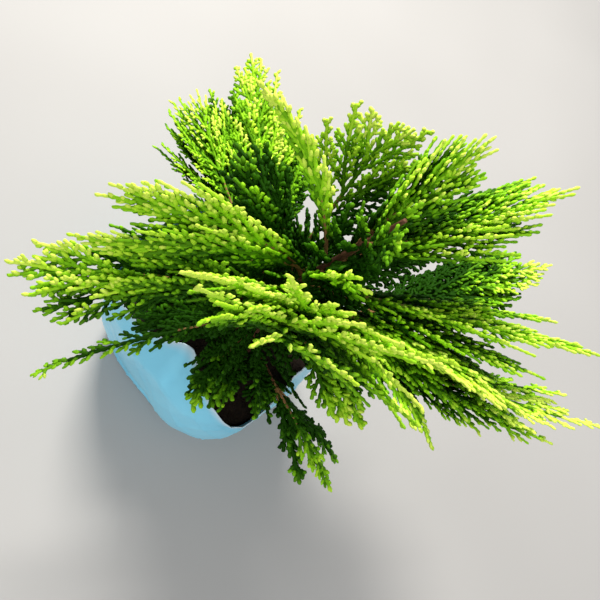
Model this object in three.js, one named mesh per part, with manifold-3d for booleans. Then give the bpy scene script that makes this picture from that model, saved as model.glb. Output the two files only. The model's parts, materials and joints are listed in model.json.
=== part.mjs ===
// Young golden conifer in a soft sky-blue nursery bag.
// Millimetres, +Z up. The origin is at the middle of the bag's flat underside.
// Azimuths are in degrees, 0 along +X and 90 along +Y, and a rise is counted up from level.

import * as THREE from 'three';
import { mergeVertices } from 'three/addons/utils/BufferGeometryUtils.js';
import Module from 'manifold-3d';

const wasm = await Module();
wasm.setup();

// Bag: a film sack that bulges under the soil line and has a loose collar above it.
const BAG = {
  foot: 60,                  // half width of the flat underside
  belly: 71,                 // half width at the bulge
  bellyHeight: 58,
  shoulder: 67.5,            // half width at the soil line
  rim: 118,                  // mean height of the free edge
  wall: 1.6,
  floor: 2.0,
  squareness: 3.2,           // 2 is round, more is squarer
  sides: 40,
  rings: [18, 38, 58, 78],   // heights of the rings between the floor and the soil line
  collar: [0.35, 0.7, 1],    // and above it, in shares of the way to the free edge
};

// The free edge by azimuth: what it adds to the rim's height, and how far it leans inwards.
const COLLAR = [
  { azimuth: 281, spread: 27, lift: 6, lean: 23 },
  { azimuth: 321, spread: 14, lift: -12, lean: -4 },
  { azimuth: 243, spread: 18, lift: -5, lean: 4 },
  { azimuth: 4, spread: 24, lift: 8, lean: 9 },
  { azimuth: 118, spread: 50, lift: 6, lean: 7 },
];
const CREASES = { count: 11, depth: 0.9, full: 60 };   // whole depth from this height up

const SOIL = {
  level: 97,
  gap: 0.4,
  rough: 2.2,
  pad: 15,                    // flat patch round the stem
  shares: [1, 0.62, 0.3, 0],  // rings of its top, from the wall to that patch
  seed: 91,
};
const CLEAR = 0.3;   // gap where one limb meets the next

// Trunk: its centre line from the soil to the tip, with the radius at foot and tip.
const TRUNK = {
  line: [[22, -6, 97.3], [20, -5, 140], [17, 0, 185], [20, 9, 228], [25, 21, 266]],
  foot: 4.9,
  tip: 1.0,
  taper: 0.85,         // under 1 it thins fastest near the foot
  flare: 3.6,          // extra radius where the roots run out
  flareHeight: 9,
  roots: 4,
  rootShare: 0.65,     // share of the flare that stands out in them
  cutReach: 12,        // what is this near the foot's middle
  cutHeight: 1.5,      // and this low lies in the flat cut
  sides: 10,
  steps: 16,
};

// Boughs: height where each leaves the trunk, azimuth, rise at the trunk and change of rise
// to the tip, length, radius at the trunk and at the tip.
const BOUGHS = {
  low_right: { height: 111, azimuth: 340, rise: 22, arch: 0, length: 30, foot: 2.1, tip: 1.4 },
  left: { height: 128, azimuth: 156, rise: 34, arch: -12, length: 42, foot: 2.6, tip: 1.5 },
  back_left: { height: 140, azimuth: 118, rise: 34, arch: 22, length: 46, foot: 2.6, tip: 1.5 },
  back: { height: 122, azimuth: 84, rise: 30, arch: 6, length: 40, foot: 2.4, tip: 1.4 },
  right_back: { height: 133, azimuth: 50, rise: 34, arch: 6, length: 48, foot: 2.6, tip: 1.5 },
  right: { height: 148, azimuth: 14, rise: 40, arch: -12, length: 52, foot: 2.7, tip: 1.5 },
  front_left: { height: 150, azimuth: 226, rise: 42, arch: -8, length: 42, foot: 2.6, tip: 1.5 },
  crest_front: { height: 160, azimuth: 284, rise: 56, arch: 8, length: 44, foot: 2.4, tip: 1.4 },
};
const BOUGH = { points: 6, sides: 7, steps: 5 };

// Sprays of foliage. One with a height grows from the trunk there, and the others from the tip
// of the bough with their name. reach is the length of the axis and its end twig, half the
// length of the longest side twigs. turn tips the flat of the spray round its axis: 0 lies
// flat, 90 stands on edge. arch and sweep are the change of rise and azimuth along the axis.
// open is the angle between axis and side twigs, where it isn't the rule's.
const SPRAYS = {
  low_right: { azimuth: 348, rise: 10, arch: -22, sweep: 4, reach: 72, half: 40, turn: 6 },
  low_front: { height: 116, azimuth: 271, rise: 24, arch: -34, sweep: 6, reach: 58, half: 32, turn: -8 },
  low_left: { height: 116, azimuth: 202, rise: 30, arch: -26, sweep: -6, reach: 78, half: 30, turn: 12 },
  back_low: { height: 112, azimuth: 112, rise: 24, arch: -18, sweep: -4, reach: 74, half: 30, turn: 10 },
  right_low: { height: 120, azimuth: 38, rise: 24, arch: -14, sweep: 8, reach: 104, half: 34, turn: -10 },
  left: { azimuth: 171, rise: 16, arch: 4, sweep: -8, reach: 90, half: 58, turn: -14 },
  left_back: { height: 134, azimuth: 145, rise: 28, arch: -18, sweep: 6, reach: 150, half: 40, turn: 24 },
  back_left: { azimuth: 117, rise: 61, arch: 4, sweep: -6, reach: 84, half: 54, turn: 4 },
  back: { azimuth: 78, rise: 30, arch: 8, sweep: 6, reach: 96, half: 38, turn: -12 },
  right_back: { azimuth: 58, rise: 33, arch: 2, sweep: 8, reach: 112, half: 40, turn: 16 },
  right: { azimuth: 26, rise: 29, arch: -10, sweep: 6, reach: 127, half: 32, turn: 26 },
  right_upper: { height: 194, azimuth: 31, rise: 28, arch: -14, sweep: 4, reach: 148, half: 34, turn: 44 },
  right_front: { height: 180, azimuth: 15, rise: 40, arch: -36, sweep: 4, reach: 128, half: 30, turn: 34 },
  right_tip: { height: 186, azimuth: 359, rise: 38, arch: -60, sweep: 2, reach: 108, half: 24, turn: 16 },
  right_under: { height: 158, azimuth: 351, rise: 36, arch: -42, sweep: 2, reach: 78, half: 24, turn: -22 },
  front_low: { height: 142, azimuth: 245, rise: 29, arch: -58, sweep: 4, reach: 126, half: 28, turn: -20 },
  front_left: { azimuth: 231, rise: 26, arch: -46, sweep: 4, reach: 96, half: 36, turn: 22 },
  front_middle: { height: 170, azimuth: 229, rise: 38, arch: -38, sweep: -6, reach: 112, half: 28, turn: 56 },
  left_side: { height: 196, azimuth: 183, rise: 44, arch: -40, sweep: -6, reach: 72, half: 28, turn: 10 },
  left_arch: { height: 214, azimuth: 168, rise: 58, arch: -66, sweep: 10, reach: 90, half: 22, turn: 74 },
  left_upper: { height: 206, azimuth: 218, rise: 31, arch: -44, sweep: 4, reach: 106, half: 30, turn: 60 },
  crest_front: { azimuth: 308, rise: 74, arch: 6, sweep: 0, reach: 34, half: 50, turn: 0, open: 74 },
  crest_middle: { height: 192, azimuth: 292, rise: 34, arch: 52, sweep: 10, reach: 58, half: 50, turn: 0, open: 70 },
  crest_back: { height: 212, azimuth: 300, rise: 52, arch: 32, sweep: 0, reach: 44, half: 46, turn: 0, open: 66 },
  top_back: { height: 216, azimuth: 62, rise: 40, arch: -6, sweep: 4, reach: 111, half: 30, turn: 36 },
  top_left: { height: 228, azimuth: 92, rise: 47, arch: 2, sweep: -6, reach: 68, half: 28, turn: -30 },
  top: { height: 242, azimuth: 300, rise: 66, arch: 10, sweep: 0, reach: 38, half: 40, turn: 0, open: 60 },
};

// Growth rule of a spray: an axis with side twigs left and right in turn.
const RULE = {
  steps: 14,           // points along the axis
  stem: 1.4,           // axis radius at its foot
  end: 0.6,            // and at its tip
  stemSides: 3,
  stemSteps: 8,
  axis: 0.9,           // share of the reach that the axis takes
  endTwig: 0.14,       // share that the twig at its end takes, which starts inside it
  endOpen: 4,          // angle of that twig
  bare: 0.14,          // share of the axis with no side twigs
  gap: 11.8,           // along the axis between side twigs
  loose: 0.5,          // share of that gap by which a twig may stand late
  shortest: 9,
  vary: 0.28,          // spread of the lengths
  rise: 0.3,           // share of the axis over which the twigs grow longer
  foot: 0.5,           // length of the first against the longest
  fall: 0.62,          // share of the axis, up to its tip, over which they shorten
  tip: 0.2,            // length of the last against the longest
  round: 0.8,          // under 1 the outline of the spray is fuller
  open: 50,            // angle between axis and side twig at the axis's foot
  narrow: 14,          // how much smaller that is at the axis's tip
  close: 0.45,         // share of it that is left at the side twig's own tip
  tilt: 12,            // spread of the angles that twigs stand out of the flat
  sag: 0.22,           // how far side twigs hang
  bladeSteps: 8,
  thick: 1.3,
  core: 1.5,           // half width of a blade between its teeth
  thin: 0.3,           // share of that which is lost to the tip
};

// Teeth of a blade, which stand for the twiglets along a side twig.
const TOOTH = {
  gap: 13,             // along the blade
  most: 3,             // on each edge
  share: 0.3,          // reach against the blade's length
  least: 3,
  longest: 9,
  first: 0.55,         // share of that reach at the blade's foot
  full: 0.3,           // share of the length where it is whole
  taper: 0.62,         // share that is lost to the tip
  lean: 0.95,          // how far a tooth's point lies ahead of its root
  root: 0.7,           // width of the blade's foot against its core
  bare: 0.12,          // share of the blade with no teeth, at foot and tip
  end: 0.97,           // share of the length that no point passes
  upper: 0.08,         // where in its stretch a tooth stands, on the two edges
  lower: 0.42,
};

// What foliage keeps clear of, measured between stations.
const KEEP = {
  spray: 4.2,          // from another spray
  limb: 3.4,           // from a limb, beside that limb's radius
  every: 3,            // distance between a limb's stations
  tips: 0.3,           // share by which a blade counts as narrower at its tip
  over: 4,             // height over the bag's free edge and over the soil
  beside: 4,           // how far outside the wall the free edge still counts
  inside: 26,          // from this far inside the wall only the soil counts
  lowest: 40,          // height that foliage outside the bag may hang down to
};

const COLOURS = {
  film: 0x7fb9de,
  soil: 0x3a2c22,
  bark: 0x7d4d34,
  bough: 0x9a6240,
  green: [0x4f8f1e, 0x76ad26, 0xa3c934],
};

const rad = THREE.MathUtils.degToRad;
const clamp = THREE.MathUtils.clamp;
const lerp = THREE.MathUtils.lerp;

// A repeatable draw between 0 and 1 for a spray, a twig on it and a use.
function draw(spray, twig, use) {
  const value = Math.sin(spray * 12.9898 + twig * 78.233 + use * 37.719) * 43758.5453;
  return value - Math.floor(value);
}

function heading(azimuth, rise) {
  const level = Math.cos(rad(rise));
  return new THREE.Vector3(
    level * Math.cos(rad(azimuth)), level * Math.sin(rad(azimuth)), Math.sin(rad(rise)));
}

// The part of a bump of the collar that reaches an azimuth.
function share(azimuth, bump) {
  const away = Math.abs(((azimuth - bump.azimuth + 540) % 360) - 180) / bump.spread;
  return Math.exp(-away * away);
}

// Plan of the bag: 1 on its sides and more towards its four soft corners.
function plan(azimuth) {
  const x = Math.abs(Math.cos(rad(azimuth)));
  const y = Math.abs(Math.sin(rad(azimuth)));
  return (x ** BAG.squareness + y ** BAG.squareness) ** (-1 / BAG.squareness);
}

function rimHeight(azimuth) {
  return BAG.rim + COLLAR.reduce((sum, bump) => sum + bump.lift * share(azimuth, bump), 0);
}

function rimLean(azimuth) {
  return COLLAR.reduce((sum, bump) => sum + bump.lean * share(azimuth, bump), 0);
}

// Distance of the bag's outside from its middle at a height and an azimuth.
function bagRadius(height, azimuth) {
  const up = height / BAG.bellyHeight;
  const over = (height - BAG.bellyHeight) / (SOIL.level - BAG.bellyHeight);
  let half = up < 1
    ? lerp(BAG.foot, BAG.belly, Math.sin(up * Math.PI / 2))
    : lerp(BAG.belly, BAG.shoulder, clamp(over, 0, 1) ** 2);
  if (height > SOIL.level) {
    const free = (height - SOIL.level) / (rimHeight(azimuth) - SOIL.level);
    half -= rimLean(azimuth) * free;
  }
  const depth = CREASES.depth * clamp(height / CREASES.full, 0, 1);
  return half * plan(azimuth) + depth * Math.cos(rad(azimuth * CREASES.count));
}

// A ring of points at the bag's wall, inset from its outside, at a height for each azimuth.
function wallRing(inset, heightAt) {
  return Array.from({ length: BAG.sides }, (_, k) => {
    const azimuth = k * 360 / BAG.sides;
    const height = heightAt(azimuth);
    const half = bagRadius(height, azimuth) - inset;
    return new THREE.Vector3(
      half * Math.cos(rad(azimuth)), half * Math.sin(rad(azimuth)), height);
  });
}

function material(colour, roughness) {
  return new THREE.MeshStandardMaterial({ color: colour, roughness, metalness: 0 });
}

// A closed solid lofted through rings of points, with its two ends shut by their middles.
function loft(rings) {
  const sides = rings[0].length;
  const points = [...rings.flat()];
  const faces = [];
  for (let r = 0; r + 1 < rings.length; r += 1) {
    for (let s = 0; s < sides; s += 1) {
      const a = r * sides + s;
      const b = r * sides + ((s + 1) % sides);
      faces.push(a, b, b + sides, a, b + sides, a + sides);
    }
  }
  const middle = (ring) => ring.reduce((sum, p) => sum.add(p), new THREE.Vector3())
    .divideScalar(sides);
  const foot = points.push(middle(rings[0])) - 1;
  const head = points.push(middle(rings.at(-1))) - 1;
  const last = (rings.length - 1) * sides;
  for (let s = 0; s < sides; s += 1) {
    const next = (s + 1) % sides;
    faces.push(foot, next, s, head, last + s, last + next);
  }
  const geometry = new THREE.BufferGeometry().setFromPoints(points);
  geometry.setIndex(faces);
  return geometry;
}

// Bag: up the outside, over the free edge and down the inside to the floor.
function makeBag() {
  const collar = BAG.collar.map((free) => (azimuth) =>
    lerp(SOIL.level, rimHeight(azimuth), free));
  const wall = (low) => [low, ...BAG.rings, SOIL.level].map((height) => () => height)
    .concat(collar);
  return loft([
    ...wall(0).map((heightAt) => wallRing(0, heightAt)),
    ...wall(BAG.floor).reverse().map((heightAt) => wallRing(BAG.wall, heightAt)),
  ]);
}

// Soil: fills the bag to its level, is rough on top, and flat round the stem.
function makeSoil() {
  const sides = [BAG.floor + SOIL.gap, ...BAG.rings]
    .map((height) => wallRing(BAG.wall + SOIL.gap, () => height));
  const edge = wallRing(BAG.wall + SOIL.gap, () => SOIL.level);
  const [x, y] = TRUNK.line[0];
  const top = SOIL.shares.map((outward, ring) => edge.map((point, k) => {
    const pad = new THREE.Vector3(x, y, SOIL.level)
      .add(heading(k * 360 / BAG.sides, 0).multiplyScalar(SOIL.pad));
    const place = pad.lerp(point, outward);
    if (outward) place.z -= draw(SOIL.seed, k, ring) * SOIL.rough;
    return place;
  }));
  return loft([...sides, ...top]);
}

// A tapering limb: a cylinder bent along a line of points, with a radius for each share of it.
function limb(line, radius, sides, steps) {
  const curve = new THREE.CatmullRomCurve3(line);
  const straight = new THREE.CylinderGeometry(1, 1, 1, sides, steps);
  straight.deleteAttribute('normal');
  straight.deleteAttribute('uv');
  const solid = mergeVertices(straight);
  const place = solid.getAttribute('position');
  const start = curve.getTangentAt(0);
  const across = new THREE.Vector3(start.z, 0, -start.x).normalize();
  for (let k = 0; k < place.count; k += 1) {
    const at = place.getY(k) + 0.5;
    const tangent = curve.getTangentAt(at);
    const side = across.clone().addScaledVector(tangent, -across.dot(tangent)).normalize();
    const third = new THREE.Vector3().crossVectors(side, tangent);
    const turn = Math.atan2(place.getZ(k), place.getX(k));
    const size = radius(at, turn) * Math.hypot(place.getX(k), place.getZ(k));
    const point = curve.getPointAt(at)
      .addScaledVector(side, size * Math.cos(turn))
      .addScaledVector(third, size * Math.sin(turn));
    place.setXYZ(k, point.x, point.y, point.z);
  }
  return solid;
}

const trunkCurve = new THREE.CatmullRomCurve3(TRUNK.line.map((p) => new THREE.Vector3(...p)));

// The trunk at a height: its centre, its direction, and its radius towards an azimuth.
function trunkAt(height, azimuth) {
  let low = 0;
  let high = 1;
  for (let k = 0; k < 24; k += 1) {
    const mid = (low + high) / 2;
    if (trunkCurve.getPointAt(mid).z < height) low = mid;
    else high = mid;
  }
  return {
    point: trunkCurve.getPointAt(low),
    along: trunkCurve.getTangentAt(low),
    radius: trunkRadius(low, rad(azimuth)),
  };
}

function trunkRadius(at, turn) {
  const height = at * trunkCurve.getLength();
  const lobe = 0.5 + 0.5 * Math.cos(TRUNK.roots * turn);
  const flare = TRUNK.flare * Math.exp(-height / TRUNK.flareHeight);
  return lerp(TRUNK.foot, TRUNK.tip, at ** TRUNK.taper)
    + flare * lerp(1, lobe, TRUNK.rootShare);
}

function makeTrunk() {
  const solid = limb(trunkCurve.points, trunkRadius, TRUNK.sides, TRUNK.steps);
  const place = solid.getAttribute('position');
  const [x, y, cut] = TRUNK.line[0];
  for (let k = 0; k < place.count; k += 1) {
    const near = Math.hypot(place.getX(k) - x, place.getY(k) - y) < TRUNK.cutReach;
    if (near && place.getZ(k) < cut + TRUNK.cutHeight) place.setZ(k, cut);
  }
  return solid;
}

// The line of a limb that leaves a point at an azimuth and a rise, and arches and sweeps.
function growLine(start, row, steps, length) {
  const line = [start.clone()];
  for (let k = 0; k < steps; k += 1) {
    const at = k / steps;
    const step = heading(row.azimuth + (row.sweep ?? 0) * at, row.rise + row.arch * at);
    line.push(line.at(-1).clone().addScaledVector(step, length / steps));
  }
  return line;
}

// Where a limb that leaves the trunk starts: on the bark, with the gap.
function leaveTrunk(row, radius) {
  const stem = trunkAt(row.height, row.azimuth);
  const out = heading(row.azimuth, row.rise);
  const slant = Math.abs(stem.along.dot(out));
  const away = (stem.radius + CLEAR + radius * slant) / Math.sqrt(1 - slant * slant);
  return stem.point.clone().addScaledVector(out, away);
}

const boughLines = {};
for (const [name, row] of Object.entries(BOUGHS)) {
  boughLines[name] = growLine(leaveTrunk(row, row.foot), row, BOUGH.points, row.length);
}

function makeBough(name) {
  const row = BOUGHS[name];
  return limb(boughLines[name], (at) => lerp(row.foot, row.tip, at), BOUGH.sides, BOUGH.steps);
}

// Where a spray's axis starts: at the trunk, or past the tip of its bough, with the gap.
function sprayStart(name, row) {
  if (row.height) return leaveTrunk(row, RULE.stem);
  const [before, tip] = boughLines[name].slice(-2);
  return tip.clone().addScaledVector(tip.clone().sub(before).normalize(), CLEAR);
}

const axes = {};
for (const [name, row] of Object.entries(SPRAYS)) {
  axes[name] = growLine(sprayStart(name, row), row, RULE.steps, row.reach * RULE.axis);
}

// Frame of a spray at a share of its axis: where, which way, and the two ways across.
function axisFrame(line, row, at) {
  const place = clamp(at, 0, 1) * (line.length - 1);
  const k = Math.min(Math.floor(place), line.length - 2);
  const point = line[k].clone().lerp(line[k + 1], place - k);
  const azimuth = row.azimuth + row.sweep * at;
  const along = heading(azimuth, row.rise + row.arch * at);
  const level = new THREE.Vector3(Math.sin(rad(azimuth)), -Math.cos(rad(azimuth)), 0);
  const upright = new THREE.Vector3().crossVectors(level, along);
  const side = level.clone().multiplyScalar(Math.cos(rad(row.turn)))
    .addScaledVector(upright, Math.sin(rad(row.turn)));
  return { point, along, side, face: new THREE.Vector3().crossVectors(side, along) };
}

// Length of a side twig against the longest, by its place on the axis.
function envelope(at) {
  const rise = clamp((at - RULE.bare) / RULE.rise, 0, 1);
  const fall = clamp((1 - at) / RULE.fall, 0, 1);
  return lerp(RULE.foot, 1, rise) * lerp(RULE.tip, 1, fall ** RULE.round);
}

// Stations of a twig that leaves a frame to one hand: each with its own way along and across.
function twigStations(frame, hand, open, close, tilt, length) {
  const point = frame.point.clone();
  return Array.from({ length: RULE.bladeSteps + 1 }, (_, s) => {
    const at = s / RULE.bladeSteps;
    const angle = rad(lerp(open, close, at)) * hand;
    const along = frame.along.clone().multiplyScalar(Math.cos(angle))
      .addScaledVector(frame.side, Math.sin(angle))
      .addScaledVector(frame.face, Math.sin(tilt) * Math.abs(Math.sin(angle)));
    along.z -= RULE.sag * at * at;
    along.normalize();
    const across = new THREE.Vector3().crossVectors(along, frame.face).normalize();
    const station = { point: point.clone(), along, across };
    point.addScaledVector(along, length / RULE.bladeSteps);
    return station;
  });
}

// The side twigs of a spray, and the twig at its end.
function sideTwigs(number, row, line) {
  const count = Math.floor(row.reach * (1 - RULE.bare) / RULE.gap);
  return Array.from({ length: count + 1 }, (_, k) => {
    const last = k === count;
    const late = (k + RULE.loose * draw(number, k, 1)) / count;
    const at = lerp(RULE.bare, 1, Math.min(1, late));
    const varied = 1 + RULE.vary * (draw(number, k, 2) - 0.5);
    const length = last
      ? row.reach * RULE.endTwig
      : Math.max(RULE.shortest, row.half * envelope(at) * varied);
    const tilt = rad(RULE.tilt * (draw(number, k, 3) - 0.5));
    const open = last ? RULE.endOpen : (row.open ?? RULE.open) - RULE.narrow * at;
    const close = last ? 0 : open * RULE.close;
    const hand = k % 2 === 0 ? 1 : -1;
    const frame = axisFrame(line, row, at);
    return { length, stations: twigStations(frame, hand, open, close, tilt, length) };
  });
}

// How far the teeth of a blade reach from its middle at a share of its length.
function toothReach(length, at) {
  const rise = lerp(TOOTH.first, 1, Math.min(1, at / TOOTH.full));
  const whole = clamp(length * TOOTH.share, TOOTH.least, TOOTH.longest);
  return whole * rise * (1 - at * TOOTH.taper);
}

// Toothed outline of a blade of scale-leaved twiglets, along x from 0 to its length.
function bladeShape(length) {
  const teeth = clamp(Math.round(length / TOOTH.gap), 1, TOOTH.most);
  const edge = (phase) => Array.from({ length: teeth }, (_, t) => {
    const at = lerp(TOOTH.bare, 1 - TOOTH.bare, (t + phase) / teeth);
    const reach = toothReach(length, at);
    return [
      [length * at, RULE.core * (1 - RULE.thin * at)],
      [Math.min(length * at + reach * TOOTH.lean, length * TOOTH.end), reach],
    ];
  }).flat();
  const foot = RULE.core * TOOTH.root;
  const lower = edge(TOOTH.lower).reverse().map(([x, y]) => [x, -y]);
  const outline = [[0, foot], ...edge(TOOTH.upper), [length, 0], ...lower, [0, -foot]];
  return new THREE.Shape(outline.map(([x, y]) => new THREE.Vector2(x, y)));
}

// A blade: the outline given its thickness and laid along the twig's stations.
function makeBlade(twig) {
  const flat = new THREE.ExtrudeGeometry(bladeShape(twig.length), {
    depth: RULE.thick, bevelEnabled: false, steps: 1,
  });
  flat.deleteAttribute('normal');
  flat.deleteAttribute('uv');
  const solid = mergeVertices(flat);
  const place = solid.getAttribute('position');
  for (let k = 0; k < place.count; k += 1) {
    const at = clamp(place.getX(k) / twig.length, 0, 1) * RULE.bladeSteps;
    const s = Math.min(Math.floor(at), RULE.bladeSteps - 1);
    const near = twig.stations[s];
    const next = twig.stations[s + 1];
    const along = near.along.clone().lerp(next.along, at - s).normalize();
    const across = near.across.clone().lerp(next.across, at - s).normalize();
    const face = new THREE.Vector3().crossVectors(along, across);
    const point = near.point.clone().lerp(next.point, at - s)
      .addScaledVector(across, place.getY(k))
      .addScaledVector(face, place.getZ(k) - RULE.thick / 2);
    place.setXYZ(k, point.x, point.y, point.z);
  }
  return solid;
}

function toManifold(geometry) {
  const mesh = new wasm.Mesh({
    numProp: 3,
    vertProperties: new Float32Array(geometry.getAttribute('position').array),
    triVerts: new Uint32Array(geometry.getIndex().array),
  });
  return new wasm.Manifold(mesh);
}

function fromManifold(solid) {
  const mesh = solid.getMesh();
  const geometry = new THREE.BufferGeometry();
  geometry.setAttribute('position', new THREE.BufferAttribute(mesh.vertProperties, 3));
  geometry.setIndex(new THREE.BufferAttribute(mesh.triVerts, 1));
  return geometry;
}

// Stations of everything placed so far, which later twigs keep clear of.
const taken = [];

function takeLimb(owner, line, radius) {
  const curve = new THREE.CatmullRomCurve3(line);
  const count = Math.ceil(curve.getLength() / KEEP.every);
  for (let k = 0; k <= count; k += 1) {
    taken.push({ owner, point: curve.getPointAt(k / count), room: KEEP.limb + radius });
  }
}

// Points that stand for a twig: its middle line and the two sides that its teeth reach.
function twigPoints(twig) {
  return twig.stations.slice(1).flatMap((station, s) => {
    const at = (s + 1) / RULE.bladeSteps;
    const reach = toothReach(twig.length, at) * (1 - KEEP.tips * at);
    return [0, 1, -1].map((hand) => station.point.clone()
      .addScaledVector(station.across, hand * reach));
  });
}

// The lowest that foliage may be at a place: over the soil, the free edge or the ground.
function lowestAt(x, y) {
  const azimuth = THREE.MathUtils.radToDeg(Math.atan2(y, x));
  const wall = bagRadius(SOIL.level, azimuth);
  const outward = Math.hypot(x, y);
  if (outward < wall - KEEP.inside) return SOIL.level + KEEP.over;
  return outward < wall + KEEP.beside ? rimHeight(azimuth) + KEEP.over : KEEP.lowest;
}

function staysInSpace(owner, points) {
  return points.every((point) => point.z >= lowestAt(point.x, point.y)
    && taken.every((other) => other.owner === owner
      || other.point.distanceToSquared(point) > other.room * other.room));
}

// A spray: its stem and every twig that stays in its space, fused into one body.
function makeSpray(name, number) {
  const row = SPRAYS[name];
  const line = axes[name];
  const radius = (at) => lerp(RULE.stem, RULE.end, at);
  const stem = limb(line, radius, RULE.stemSides, RULE.stemSteps);
  const kept = sideTwigs(number, row, line).filter((twig) => {
    const points = twigPoints(twig);
    const fits = staysInSpace(name, points);
    if (fits) for (const point of points) taken.push({ owner: name, point, room: KEEP.spray });
    return fits;
  });
  const solids = [toManifold(stem), ...kept.map((twig) => toManifold(makeBlade(twig)))];
  return fromManifold(wasm.Manifold.union(solids));
}

const plant = new THREE.Group();

function add(name, geometry, look) {
  const mesh = new THREE.Mesh(geometry, look);
  mesh.name = name;
  plant.add(mesh);
}

add('grow_bag', makeBag(), material(COLOURS.film, 0.42));
add('soil', makeSoil(), material(COLOURS.soil, 0.95));
add('trunk', makeTrunk(), material(COLOURS.bark, 0.85));
takeLimb('trunk', trunkCurve.points, TRUNK.foot / 2);
for (const [name, row] of Object.entries(BOUGHS)) {
  add(`bough_${name}`, makeBough(name), material(COLOURS.bough, 0.8));
  takeLimb(`bough_${name}`, boughLines[name], row.foot);
}
for (const name of Object.keys(SPRAYS)) takeLimb(name, axes[name], RULE.stem);
Object.keys(SPRAYS).forEach((name, k) => {
  const look = material(COLOURS.green[k % COLOURS.green.length], 0.6);
  add(`spray_${name}`, makeSpray(name, k + 1), look);
});

export default plant;
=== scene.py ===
# Looks of a young golden conifer in a soft sky-blue nursery bag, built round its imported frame.
# The plant is grown in millimetres, with +Z up and the origin in the middle of the bag's
# underside, and meshes are made in metres. Azimuths are in degrees, 0 along +X.

import json
import math
from collections import namedtuple
from types import SimpleNamespace as Sizes

import bmesh
import bpy
import numpy as np
from mathutils import Matrix, Vector, noise

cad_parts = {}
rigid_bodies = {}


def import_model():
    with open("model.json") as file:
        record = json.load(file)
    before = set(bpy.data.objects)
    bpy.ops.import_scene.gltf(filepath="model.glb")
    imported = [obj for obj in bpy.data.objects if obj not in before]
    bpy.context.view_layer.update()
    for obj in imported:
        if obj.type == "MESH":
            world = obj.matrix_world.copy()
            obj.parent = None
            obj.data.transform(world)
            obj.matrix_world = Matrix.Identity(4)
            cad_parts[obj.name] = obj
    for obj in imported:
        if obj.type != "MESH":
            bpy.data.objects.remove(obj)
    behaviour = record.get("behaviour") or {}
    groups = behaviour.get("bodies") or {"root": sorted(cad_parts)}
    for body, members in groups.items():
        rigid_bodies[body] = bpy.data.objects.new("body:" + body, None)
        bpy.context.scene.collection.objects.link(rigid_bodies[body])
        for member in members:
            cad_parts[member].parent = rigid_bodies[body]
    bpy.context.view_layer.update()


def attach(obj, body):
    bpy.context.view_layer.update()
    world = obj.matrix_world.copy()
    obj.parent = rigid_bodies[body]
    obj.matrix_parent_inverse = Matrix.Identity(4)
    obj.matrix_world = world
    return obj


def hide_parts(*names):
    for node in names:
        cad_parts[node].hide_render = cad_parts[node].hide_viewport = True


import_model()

MM = 0.001
BODY = "root"

# Bag, soil and stem, as in the part's source.
BAG = Sizes(foot=60, belly=71, belly_height=58, shoulder=67.5, rim=118, squareness=3.2)
COLLAR = [  # azimuth, spread, lift of the free edge, lean inwards
    (281, 27, 6, 23),
    (321, 14, -12, -4),
    (243, 18, -5, 4),
    (4, 24, 8, 9),
    (118, 50, 6, 7),
]
CREASES = Sizes(count=11, depth=0.9, full=60)
SOIL_LEVEL = 97
CLEAR = 0.3  # gap between a limb and what it grows from

TRUNK_LINE = [(22, -6, 97.3), (20, -5, 140), (17, 0, 185), (20, 9, 228), (25, 21, 266)]
TRUNK = Sizes(foot=4.9, tip=1.0, taper=0.85, flare=3.6, flare_height=9, roots=4, root_share=0.65,
              rings=241)

Bough = namedtuple("Bough", "height azimuth rise arch length foot tip")
BOUGHS = {
    "low_right": Bough(111, 340, 22, 0, 30, 2.1, 1.4),
    "left": Bough(128, 156, 34, -12, 42, 2.6, 1.5),
    "back_left": Bough(140, 118, 34, 22, 46, 2.6, 1.5),
    "back": Bough(122, 84, 30, 6, 40, 2.4, 1.4),
    "right_back": Bough(133, 50, 34, 6, 48, 2.6, 1.5),
    "right": Bough(148, 14, 40, -12, 52, 2.7, 1.5),
    "front_left": Bough(150, 226, 42, -8, 42, 2.6, 1.5),
    "crest_front": Bough(160, 284, 56, 8, 44, 2.4, 1.4),
}
# Points along a curve between two given ones, a bough as it grows, a bough's bark and a side twig.
STEPS = Sizes(curve=60, bough=6, bark=50, twig=8)

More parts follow.
